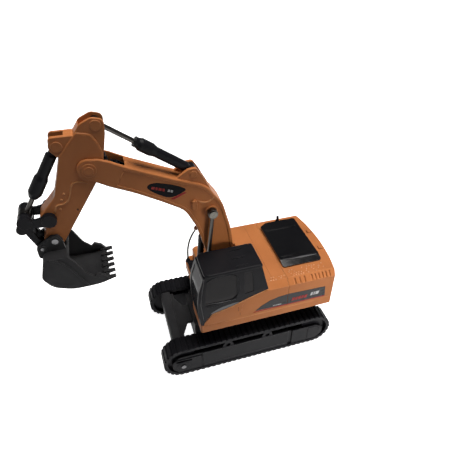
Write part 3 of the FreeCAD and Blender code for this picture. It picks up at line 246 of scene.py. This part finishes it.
# Painted highlight: a lighter grey for the lit lips, sill lines and hatch ridge.
highlight_grey = moulded("highlight_grey", (0.09, 0.09, 0.095), (0.14, 0.14, 0.145), (0.35, 0.5), 0.1)
chrome = metal("chrome_steel", (0.14, 0.14, 0.145), (0.10, 0.25), (1, 1, 1))
steel = metal("screw_steel", (0.14, 0.135, 0.12), (0.22, 0.38), (1, 1, 1))
can = metal("motor_steel", (0.55, 0.55, 0.55), (0.25, 0.4), (1, 8, 8))
smoked = glazing("smoked_glazing", (0.008, 0.007, 0.008), (0.014, 0.012, 0.014), 1.0)
clear = glazing("clear_glazing", (0.060, 0.060, 0.066), (0.085, 0.086, 0.094), 0.95, shine=0.04)

FINISHES = {
    "orange_plastic": orange, "black_plastic": black, "gloss_black": gloss, "dark_grey_plastic": grey,
    "white_plastic": white, "track_rubber": rubber, "cable_sheath": sheath, "blue_wrap": wrap,
    "board_green": board, "rod_metal": rods, "chrome_steel": chrome, "screw_steel": steel,
    "motor_steel": can, "clear_glazing": smoked,
}
for subpart in frame["record"]["subparts"]:
    node = nodes[subpart["node"]]
    node.data.materials.clear()
    node.data.materials.append(FINISHES[subpart["material_slot"]])
# The side windows look nearly black, and the windshield a little lighter.
nodes["windshield"].data.materials[0] = clear

# ---- cable -----------------------------------------------------------------------------------
CABLE_DIAMETER = 0.0015
CABLE_ROUTE = [(33.6, -34.0, 57.1), (33.6, -33.9, 64.4), (33.3, -31.5, 73.2), (32.6, -27.5, 82.6),
               (31.8, -22.0, 91.7), (31.1, -15.5, 100.8), (30.7, -9.5, 108.0), (31.3, -4.5, 113.1)]


def lay_cord(route, diameter):
    """The tube mesh of a cord that follows a route's smooth line, and the points of that line."""
    curve = bpy.data.curves.new("route", "CURVE")
    curve.dimensions = "3D"
    spline = curve.splines.new("NURBS")
    spline.points.add(len(route) - 1)
    for point, spot in zip(spline.points, route):
        point.co = (spot[0] * MM, spot[1] * MM, spot[2] * MM, 1)
    spline.order_u = 3
    spline.use_endpoint_u = True
    spline.resolution_u = 12
    line = bpy.data.objects.new("route", curve)
    scene.collection.objects.link(line)
    bpy.context.view_layer.update()
    mesh = bpy.data.meshes.new_from_object(line)
    points = [v.co.copy() for v in mesh.vertices]
    curve.bevel_depth = diameter / 2
    curve.bevel_resolution = 4
    curve.use_fill_caps = True
    evaluated = line.evaluated_get(bpy.context.evaluated_depsgraph_get())
    tube = bpy.data.meshes.new_from_object(evaluated)
    bpy.data.objects.remove(line)
    return tube, points


tube, cable_points = lay_cord(CABLE_ROUTE, CABLE_DIAMETER)
cable = bpy.data.objects.new("cable_lead", tube)
scene.collection.objects.link(cable)
tube.materials.clear()
tube.materials.append(sheath)
for polygon in tube.polygons:
    polygon.use_smooth = True
# It follows the house up to just above its exit, and the boom from just below its upper end.
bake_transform(cable)
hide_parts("cable")


# ---- detail pieces ---------------------------------------------------------------------------
def add_piece(name, mesh, material, body, smooth=False):
    """Links a mesh, already in its place in metres, as a piece that rides on a CAD body."""
    piece = bpy.data.objects.new(name, mesh)
    scene.collection.objects.link(piece)
    mesh.materials.clear()
    mesh.materials.append(material)
    for polygon in mesh.polygons:
        polygon.use_smooth = smooth
    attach(piece, body)


def mesh_from(build):
    """A mesh whose millimetre geometry build(bm) makes."""
    bm = bmesh.new()
    build(bm)
    bmesh.ops.recalc_face_normals(bm, faces=bm.faces)
    bmesh.ops.scale(bm, vec=(MM, MM, MM), verts=bm.verts)
    mesh = bpy.data.meshes.new("detail")
    bm.to_mesh(mesh)
    bm.free()
    return mesh


def prism(bm, corners, y0, y1):
    """A slab from y0 to y1 over an (x, z) outline."""
    near = [bm.verts.new((x, y0, z)) for x, z in corners]
    far = [bm.verts.new((x, y1, z)) for x, z in corners]
    bm.faces.new(near)
    bm.faces.new(far)
    for i in range(len(corners)):
        j = (i + 1) % len(corners)
        bm.faces.new((near[i], near[j], far[j], far[i]))


def join_rings(bm, rings):
    """Faces between each closed ring of corners and the next."""
    for low, high in zip(rings, rings[1:]):
        for k in range(len(low)):
            j = (k + 1) % len(low)
            bm.faces.new((low[k], low[j], high[j], high[k]))


def cut_corners(points, rounds=2, closed=True):
    """Rounds an outline or line by cutting each corner at a quarter of its sides."""
    for _ in range(rounds):
        following = points[1:] + points[:1] if closed else points[1:]
        pairs = list(zip(points, following))
        cut = []
        for a, b in pairs:
            cut.append(tuple(p * 0.75 + q * 0.25 for p, q in zip(a, b)))
            cut.append(tuple(p * 0.25 + q * 0.75 for p, q in zip(a, b)))
        points = cut if closed else [points[0]] + cut[1:-1] + [points[-1]]
    return points


FILM = 0.08


def decals(name, outlines, y, material, body, sides=(1, -1)):
    """Thin film on the side faces at distance y from the centre plane."""
    def build(bm):
        for side in sides:
            for corners in outlines:
                prism(bm, corners, side * y, side * (y + FILM))
    add_piece(name, mesh_from(build), material, body)


def turns(count):
    """Evenly spaced angles round a full turn."""
    return [2 * math.pi * k / count for k in range(count)]


def dome(bm, spot, axis, radius, height, rings=4, around=16):
    """A low round head on a surface, bulging along axis."""
    axis = Vector(axis).normalized()
    across = axis.orthogonal().normalized()
    over = axis.cross(across)
    rows = []
    for ring in range(rings):
        tilt = math.pi / 2 * ring / rings
        reach = radius * math.cos(tilt)
        lift = height * math.sin(tilt)
        corners = []
        for turn in turns(around):
            foot = Vector(spot) + across * reach * math.cos(turn) + over * reach * math.sin(turn)
            corners.append(bm.verts.new(foot + axis * lift))
        rows.append(corners)
    top = bm.verts.new(Vector(spot) + axis * height)
    join_rings(bm, rows)
    for k in range(around):
        bm.faces.new((rows[-1][k], rows[-1][(k + 1) % around], top))
    bm.faces.new(rows[0][::-1])


END_SHARE = 0.35


def bead(bm, points, radius, around=8):
    """A round bead along a line of (x, y, z) points, narrowed to closed ends."""
    points = [Vector(p) for p in points]
    loops = []
    for i, spot in enumerate(points):
        ahead = (points[min(i + 1, len(points) - 1)] - points[max(i - 1, 0)]).normalized()
        up = Vector((0, 1, 0)) if abs(ahead.y) < 0.9 else Vector((0, 0, 1))
        across = ahead.cross(up).normalized()
        over = across.cross(ahead)
        size = radius * (END_SHARE if i in (0, len(points) - 1) else 1)
        loops.append([bm.verts.new(spot + (across * math.cos(a) + over * math.sin(a)) * size)
                      for a in turns(around)])
    join_rings(bm, loops)
    bm.faces.new(loops[0][::-1])
    bm.faces.new(loops[-1])


def beads(name, lines, radius, material, body, sides=(1, -1)):
    """A piece of round beads along lines, on one or both sides of the centre plane."""
    def build(bm):
        for side in sides:
            for line in lines:
                bead(bm, [(x, side * y, z) for x, y, z in line], radius)
    add_piece(name, mesh_from(build), material, body, smooth=True)


def on_side(points, y):
    """Puts an (x, z) line on the plane at y."""
    return [(x, y, z) for x, z in points]


# House: swept decals on both sides, anti-slip studs, panel seams, hatch, hinges and bright edges. The
# studs, the hinge lugs, the hatch's ridge and the bright edges are painted highlights in lighter
# colours, and dark lines at the feet of the hatch's lugs are painted shadows.
HOUSE_SIDE = 40.2
ROOF = 81.5
SEAM = -29.0
DECAL_TOP = [(-2.5, 57.6), (-7.5, 62.0), (-14.0, 65.6), (-21.0, 67.6), (SEAM + 0.2, 68.4)]
DECAL_REAR = [(SEAM - 0.1, 68.4), (-60.8, 67.4), (-61.8, 57.0), (SEAM - 0.1, 57.0)]


def bars(x0, z0, widths, height, gap=0.6, lean=0.7):
    """Short slanted bars in a row from x0 towards the rear, in place of lettering."""
    shapes = []
    for width in widths:
        x1 = x0 - width
        shapes.append([(x0, z0), (x1, z0), (x1 - lean, z0 + height), (x0 - lean, z0 + height)])
        x0 = x1 - gap
    return shapes


decals("side_decal", [DECAL_TOP + [(SEAM + 0.2, 57.0)], DECAL_REAR], HOUSE_SIDE, charcoal, "house")
underline = [[(-0.4, 56.0), (-2.5, 57.0), (SEAM + 0.2, 57.0), (SEAM + 0.2, 56.0)],
             [(SEAM - 0.1, 56.0), (SEAM - 0.1, 57.0), (-61.8, 57.0), (-61.8, 56.0)]]
red_bars = bars(-32.5, 59.6, (2.4, 1.6, 2.4, 1.6, 2.4), 3.2)
decals("side_decal_red", underline, HOUSE_SIDE, red, "house")
decals("side_decal_red_bars", red_bars, HOUSE_SIDE + FILM, red, "house")
white_bars = bars(-48.4, 60.6, (2.0, 1.2, 2.6), 3.4)
white_bars += bars(-17.0, 58.4, (0.8, 0.8, 0.8, 2.0, 0.8), 1.0, 0.4, 0.2)
decals("side_decal_white_bars", white_bars, HOUSE_SIDE + FILM, pale, "house")

STUD_RADIUS = 0.45
STUD_HEIGHT = 0.45
STUD_PITCH = 2.1
STUD_SHARE = 0.5
STUD_DRIFT = 0.3
STUD_FIELDS = [(-28.0, -13.5, 32.6, 35.2), (-61.5, -30.5, 28.4, 35.2)]


def studs(bm):
    """Anti-slip studs in staggered rows along the left edge of the roof, with gaps."""
    for x0, x1, y0, y1 in STUD_FIELDS:
        rows = int((y1 - y0) / STUD_PITCH) + 1
        for row in range(rows):
            for k in range(int((x1 - x0) / STUD_PITCH)):
                x = x0 + (k + 0.5 * (row % 2) + 0.25) * STUD_PITCH
                y = y0 + row * STUD_PITCH + random.uniform(-STUD_DRIFT, STUD_DRIFT)
                if random.random() < STUD_SHARE:
                    dome(bm, (x, y, ROOF), (0, 0, 1), STUD_RADIUS, STUD_HEIGHT, 2, 7)


random.seed(7)
# The studs' lighter orange is a painted highlight.
add_piece("anti_slip_studs", mesh_from(studs), stud_highlight_orange, "house", True)


def roof_seams(bm):
    """The seam across the roof, and the end of the shells' joint down the shoulder."""
    bead(bm, [(-17.8, -34.0, ROOF), (-17.8, 34.6, ROOF)], 0.16)
    bead(bm, [(-28.9, 35.6, ROOF), (-28.9, 40.2, 77.0)], 0.14)


add_piece("roof_seams", mesh_from(roof_seams), seam_and_shade_dark, "house", True)
# Painted shadows: dark lines at the feet of the hatch's lugs.
LUG_FEET = [[(-70.4, y, ROOF + 0.1), (-67.2, y, ROOF + 0.1)] for y in (-9.4, 12.7)]
beads("hatch_lug_shadows", LUG_FEET, 0.45, seam_and_shade_dark, "house", (1,))
# Painted highlight: a lighter grey bead along the hatch's slope.
HATCH_RIDGE = [(-61.0, 19.5, ROOF + 2.3), (-48.0, 19.3, ROOF + 2.35), (-34.0, 19.0, ROOF + 2.4)]
beads("hatch_ridge_highlight", [HATCH_RIDGE], 0.75, highlight_grey, "hatch", (1,))
HINGES = [[(11.2, 62.2), (11.3, 66.6)], [(9.8, 56.9), (9.9, 60.2)]]
hinge_lines = [on_side(line, HOUSE_SIDE) for line in HINGES]
beads("hinge_gaps", hinge_lines, 0.42, seam_and_shade_dark, "house", (1,))
# Painted highlights: the hinge lugs, the cab's lower edge and the skirt's edge are in the lighter
# orange.
HINGE_LUGS = [[(8.6, 66.1), (7.5, 68.5)], [(8.2, 64.0), (8.8, 62.2)]]
lug_lines = [on_side(line, HOUSE_SIDE) for line in HINGE_LUGS]
beads("hinge_lugs", lug_lines, 0.35, highlight_orange, "house", (1,))
CAB_EDGE = [(35.2, 61.0), (31.3, 65.2), (18.0, 68.1), (2.3, 74.0), (-12.3, 78.9)]
cab_line = on_side(CAB_EDGE, HOUSE_SIDE - 0.1)
beads("cab_edge", [cab_line], 0.4, highlight_orange, "house", (1,))
SKIRT_EDGE = [(38.6, 53.6), (10.0, 53.4), (-30.0, 53.4), (-62.0, 53.4)]
beads("skirt_edge", [on_side(SKIRT_EDGE, HOUSE_SIDE)], 0.3, highlight_orange, "house")

# Cab: door frame, grey lines along the sill and front edge, which are painted highlights, and a gloss
# swoosh under the door.
CAB_SIDE = 40.0
DOOR_FRAME = cut_corners([(10.2, 75.2), (39.0, 71.6), (39.4, 86.0), (35.2, 101.0), (10.2, 101.0)], 2)
DOOR_LINES = [DOOR_FRAME + DOOR_FRAME[:1], [(8.6, 73.6), (8.6, 100.6)]]
SILL_LINES = [[(13.5, 75.4), (25.6, 76.0), (36.2, 76.8)],
              [(38.4, 60.0), (40.2, 78.0), (38.6, 90.0), (36.6, 101.0)]]
CAB_BEND = 80
CAB_LEAN = 0.078


def cab_skin(z):
    """The cab's left face, which leans in above the window sill."""
    return CAB_SIDE - max(0.0, z - CAB_BEND) * CAB_LEAN


def cab_trim(lines, radius):
    """Beads along (x, z) lines on the cab's left face."""
    def build(bm):
        for line in lines:
            bead(bm, [(x, cab_skin(z) - 0.05, z) for x, z in line], radius)
    return mesh_from(build)


add_piece("door_frame", cab_trim(DOOR_LINES, 0.32), black, "house", True)
add_piece("cab_highlights", cab_trim(SILL_LINES, 0.35), highlight_grey, "house", True)
SWOOSH = cut_corners([(34.1, 65.6), (27.9, 69.4), (22.4, 71.3), (13.2, 72.4), (9.3, 71.6), (15.9, 69.4),
                      (24.6, 67.2), (31.2, 65.4)], 1)
decals("door_swoosh", [SWOOSH], CAB_SIDE, gloss, "house", (1,))

# Boom: dark label with a red corner, and a curved rib and a weld line in a lighter orange that paints
# their highlights, on both sides.
BOOM_FACE = 7.5
LABEL = cut_corners([(65.6, 163.2), (61.4, 166.4), (51.6, 163.9), (42.6, 160.0), (38.6, 156.9),
                     (41.2, 155.3), (49.6, 151.8), (58.6, 156.8)], 2)
LABEL_CORNER = [(50.4, 151.4), (47.6, 150.6), (38.8, 154.4), (40.4, 155.2), (48.9, 151.9)]
decals("boom_label", [LABEL], BOOM_FACE, label_black, "boom")
decals("boom_label_corner", [LABEL_CORNER], BOOM_FACE, red, "boom")
LABEL_LEAN = 0.42


def label_bars(x0, z0, widths, height):
    """Bars that follow the label's slope."""
    level = bars(x0, z0, widths, height, 0.5, 0.5)
    return [[(x, z + (x - x0) * LABEL_LEAN) for x, z in bar] for bar in level]


label_red = label_bars(62.0, 161.6, (2.0, 1.4, 2.0, 1.4), 2.2)
label_white = label_bars(51.6, 157.6, (1.4, 1.4), 2.0)
decals("boom_label_red_bars", label_red, BOOM_FACE + FILM, red, "boom")
decals("boom_label_white_bars", label_white, BOOM_FACE + FILM, pale, "boom")
RIB = cut_corners([(32.0, 146.4), (27.0, 143.6), (22.0, 144.6), (18.8, 149.6)], 3, False)
beads("boom_rib", [on_side(RIB, BOOM_FACE)], 0.6, highlight_orange, "boom")
WELD = [(77.0, 177.9), (80.8, 172.6), (83.7, 167.0)]
beads("boom_weld", [on_side(WELD, BOOM_FACE)], 0.5, highlight_orange, "boom")

# Stick: a raised S-shaped line and rivets in a lighter orange that paints their highlights, and a dark
# disc of painted shade for a screw hole, on each side.
STICK_FACE = 5.8
S_LINE = cut_corners([(99.7, 172.3), (105.6, 174.6), (109.6, 173.0), (111.2, 167.6), (113.4, 161.6),
                      (116.6, 159.6), (121.2, 159.8), (122.6, 156.8), (123.2, 154.4)], 3, False)
beads("stick_line", [on_side(S_LINE, STICK_FACE)], 0.55, highlight_orange, "stick")
RIVETS = [(115.2, 167.1), (117.3, 163.0), (119.4, 156.5)]
SCREW_HOLE = (109.5, 154.0)


def rivets(bm):
    """Three round heads on each side of the stick."""
    for side in (1, -1):
        for x, z in RIVETS:
            dome(bm, (x, side * STICK_FACE, z), (0, side, 0), 0.75, 0.4)


def screw_hole_shades(bm):
    """A dark, nearly flat disc on each side, near one of the stick's screws: painted shade in place of
    a screw hole.
    """
    for side in (1, -1):
        dome(bm, (SCREW_HOLE[0], side * STICK_FACE, SCREW_HOLE[1]), (0, side, 0), 0.8, 0.06, 2, 20)


add_piece("stick_rivets", mesh_from(rivets), highlight_orange, "stick", True)
add_piece("stick_screw_hole_shades", mesh_from(screw_hole_shades), seam_and_shade_dark, "stick", False)


# Tracks: lighter grey lips on the side frames as painted highlights, and black plates at the feet of
# their inner sides that stand in for the shade seen through the gaps there.
TOP_LIPS = [[(34.0, 22.2), (24.8, 22.2)], [(13.6, 22.2), (-9.0, 22.2)], [(-20.2, 22.2), (-33.4, 22.2)]]
PANEL_LIPS = [[(58.5, 18.6), (42.0, 18.6)], [(39.0, 6.2), (-33.0, 6.2)]]
TOP_LIP_SIDE = 40.9
PANEL_LIP_SIDE = 40.15
lips = [on_side(line, TOP_LIP_SIDE) for line in TOP_LIPS]
lips += [on_side(line, PANEL_LIP_SIDE) for line in PANEL_LIPS]
beads("frame_lip_highlights", lips, 0.28, highlight_grey, "chassis")
FEET = [(-50.0, -33.0), (35.0, 49.0)]
FOOT_INNER = 27.2
FOOT_OUTER = 28.2
FOOT_BOTTOM = 4.6
FOOT_TOP = 8.6


def gap_shade_plates(bm):
    """Black plates that close the gaps under both ends of each inner side, standing in for the shade
    seen through them.
    """
    for x0, x1 in FEET:
        plate = [(x0, FOOT_BOTTOM), (x1, FOOT_BOTTOM), (x1, FOOT_TOP), (x0, FOOT_TOP)]
        for side in (1, -1):
            prism(bm, plate, side * FOOT_INNER, side * FOOT_OUTER)


add_piece("frame_gap_shade_plates", mesh_from(gap_shade_plates), black, "chassis")


# ---- light and floor -------------------------------------------------------------------------
def area_light(name, spot, aim, size, power, color, beam=math.pi):
    """A soft rectangular lamp at spot, turned to aim; beam is its spread in radians."""
    lamp = bpy.data.objects.new(name, bpy.data.lights.new(name, "AREA"))
    lamp.data.shape = "RECTANGLE"
    lamp.data.size, lamp.data.size_y = size
    lamp.data.energy = power
    lamp.data.color = color
    lamp.data.spread = beam
    lamp.location = spot
    lamp.rotation_mode = "QUATERNION"
    lamp.rotation_quaternion = (Vector(aim) - Vector(spot)).to_track_quat("-Z", "Y")
    scene.collection.objects.link(lamp)


# A large key lamp from above, a small one on the house's left side, and a weak one on the arm's front.
MIDDLE = (0.03, 0, 0.09)
area_light("key", (-0.15, -0.02, 1.0), MIDDLE, (0.6, 0.45), 9.6, (1.0, 0.97, 0.94))
area_light("side", (-0.30, 0.42, 0.09), (-0.06, 0, 0.05), (0.16, 0.1), 0.10, (1.0, 0.98, 0.96), 0.7)
area_light("front", (0.85, 0.05, 0.40), MIDDLE, (0.5, 0.3), 0.8, (1.0, 0.98, 0.96))

world = bpy.data.worlds.new("studio")
scene.world = world
world.use_nodes = True
background = world.node_tree.nodes["Background"]
background.inputs["Color"].default_value = (0.93, 0.95, 1.0, 1)
background.inputs["Strength"].default_value = 0.055
scene.view_settings.view_transform = "Standard"

REACH = 6.0
SEGMENTS = 64


def ring(bm, radius, height):
    """A level circle of corners round the origin."""
    return [bm.verts.new((radius * math.cos(a), radius * math.sin(a), height)) for a in turns(SEGMENTS)]


def disc(bm):
    """The flat floor."""
    bm.faces.new(ring(bm, REACH, 0))


def sky(bm):
    """A dome over the floor, so that every view has the same pale ground."""
    tilts = [0, 0.3, 0.6, 0.9, 1.2, 1.5]
    rows = [ring(bm, REACH * math.cos(t), REACH * math.sin(t)) for t in tilts]
    join_rings(bm, rows)
    bm.faces.new(rows[-1])


paper, paper_tree, paper_shader = new_material("floor_paper")
paper_tone = two_tone(paper_tree, noise(paper_tree, 3), (0.86, 0.86, 0.86), (0.88, 0.88, 0.88))
paper_tree.links.new(paper_tone, paper_shader.inputs["Base Color"])
paper_tree.links.new(paper_tone, paper_shader.inputs["Emission Color"])
paper_shader.inputs["Emission Strength"].default_value = 1.15
paper_shader.inputs["Roughness"].default_value = 0.9
for name, build in (("floor", disc), ("backdrop", sky)):
    bm = bmesh.new()
    build(bm)
    mesh = bpy.data.meshes.new(name)
    bm.to_mesh(mesh)
    bm.free()
    mesh.materials.append(paper)
    ground = bpy.data.objects.new(name, mesh)
    scene.collection.objects.link(ground)
    # Seen by the camera, and in the floor's case in reflections, but it throws no other light.
    ground.visible_diffuse = False
    ground.visible_glossy = name == "floor"
    ground.visible_transmission = name == "floor"
    ground.visible_shadow = False
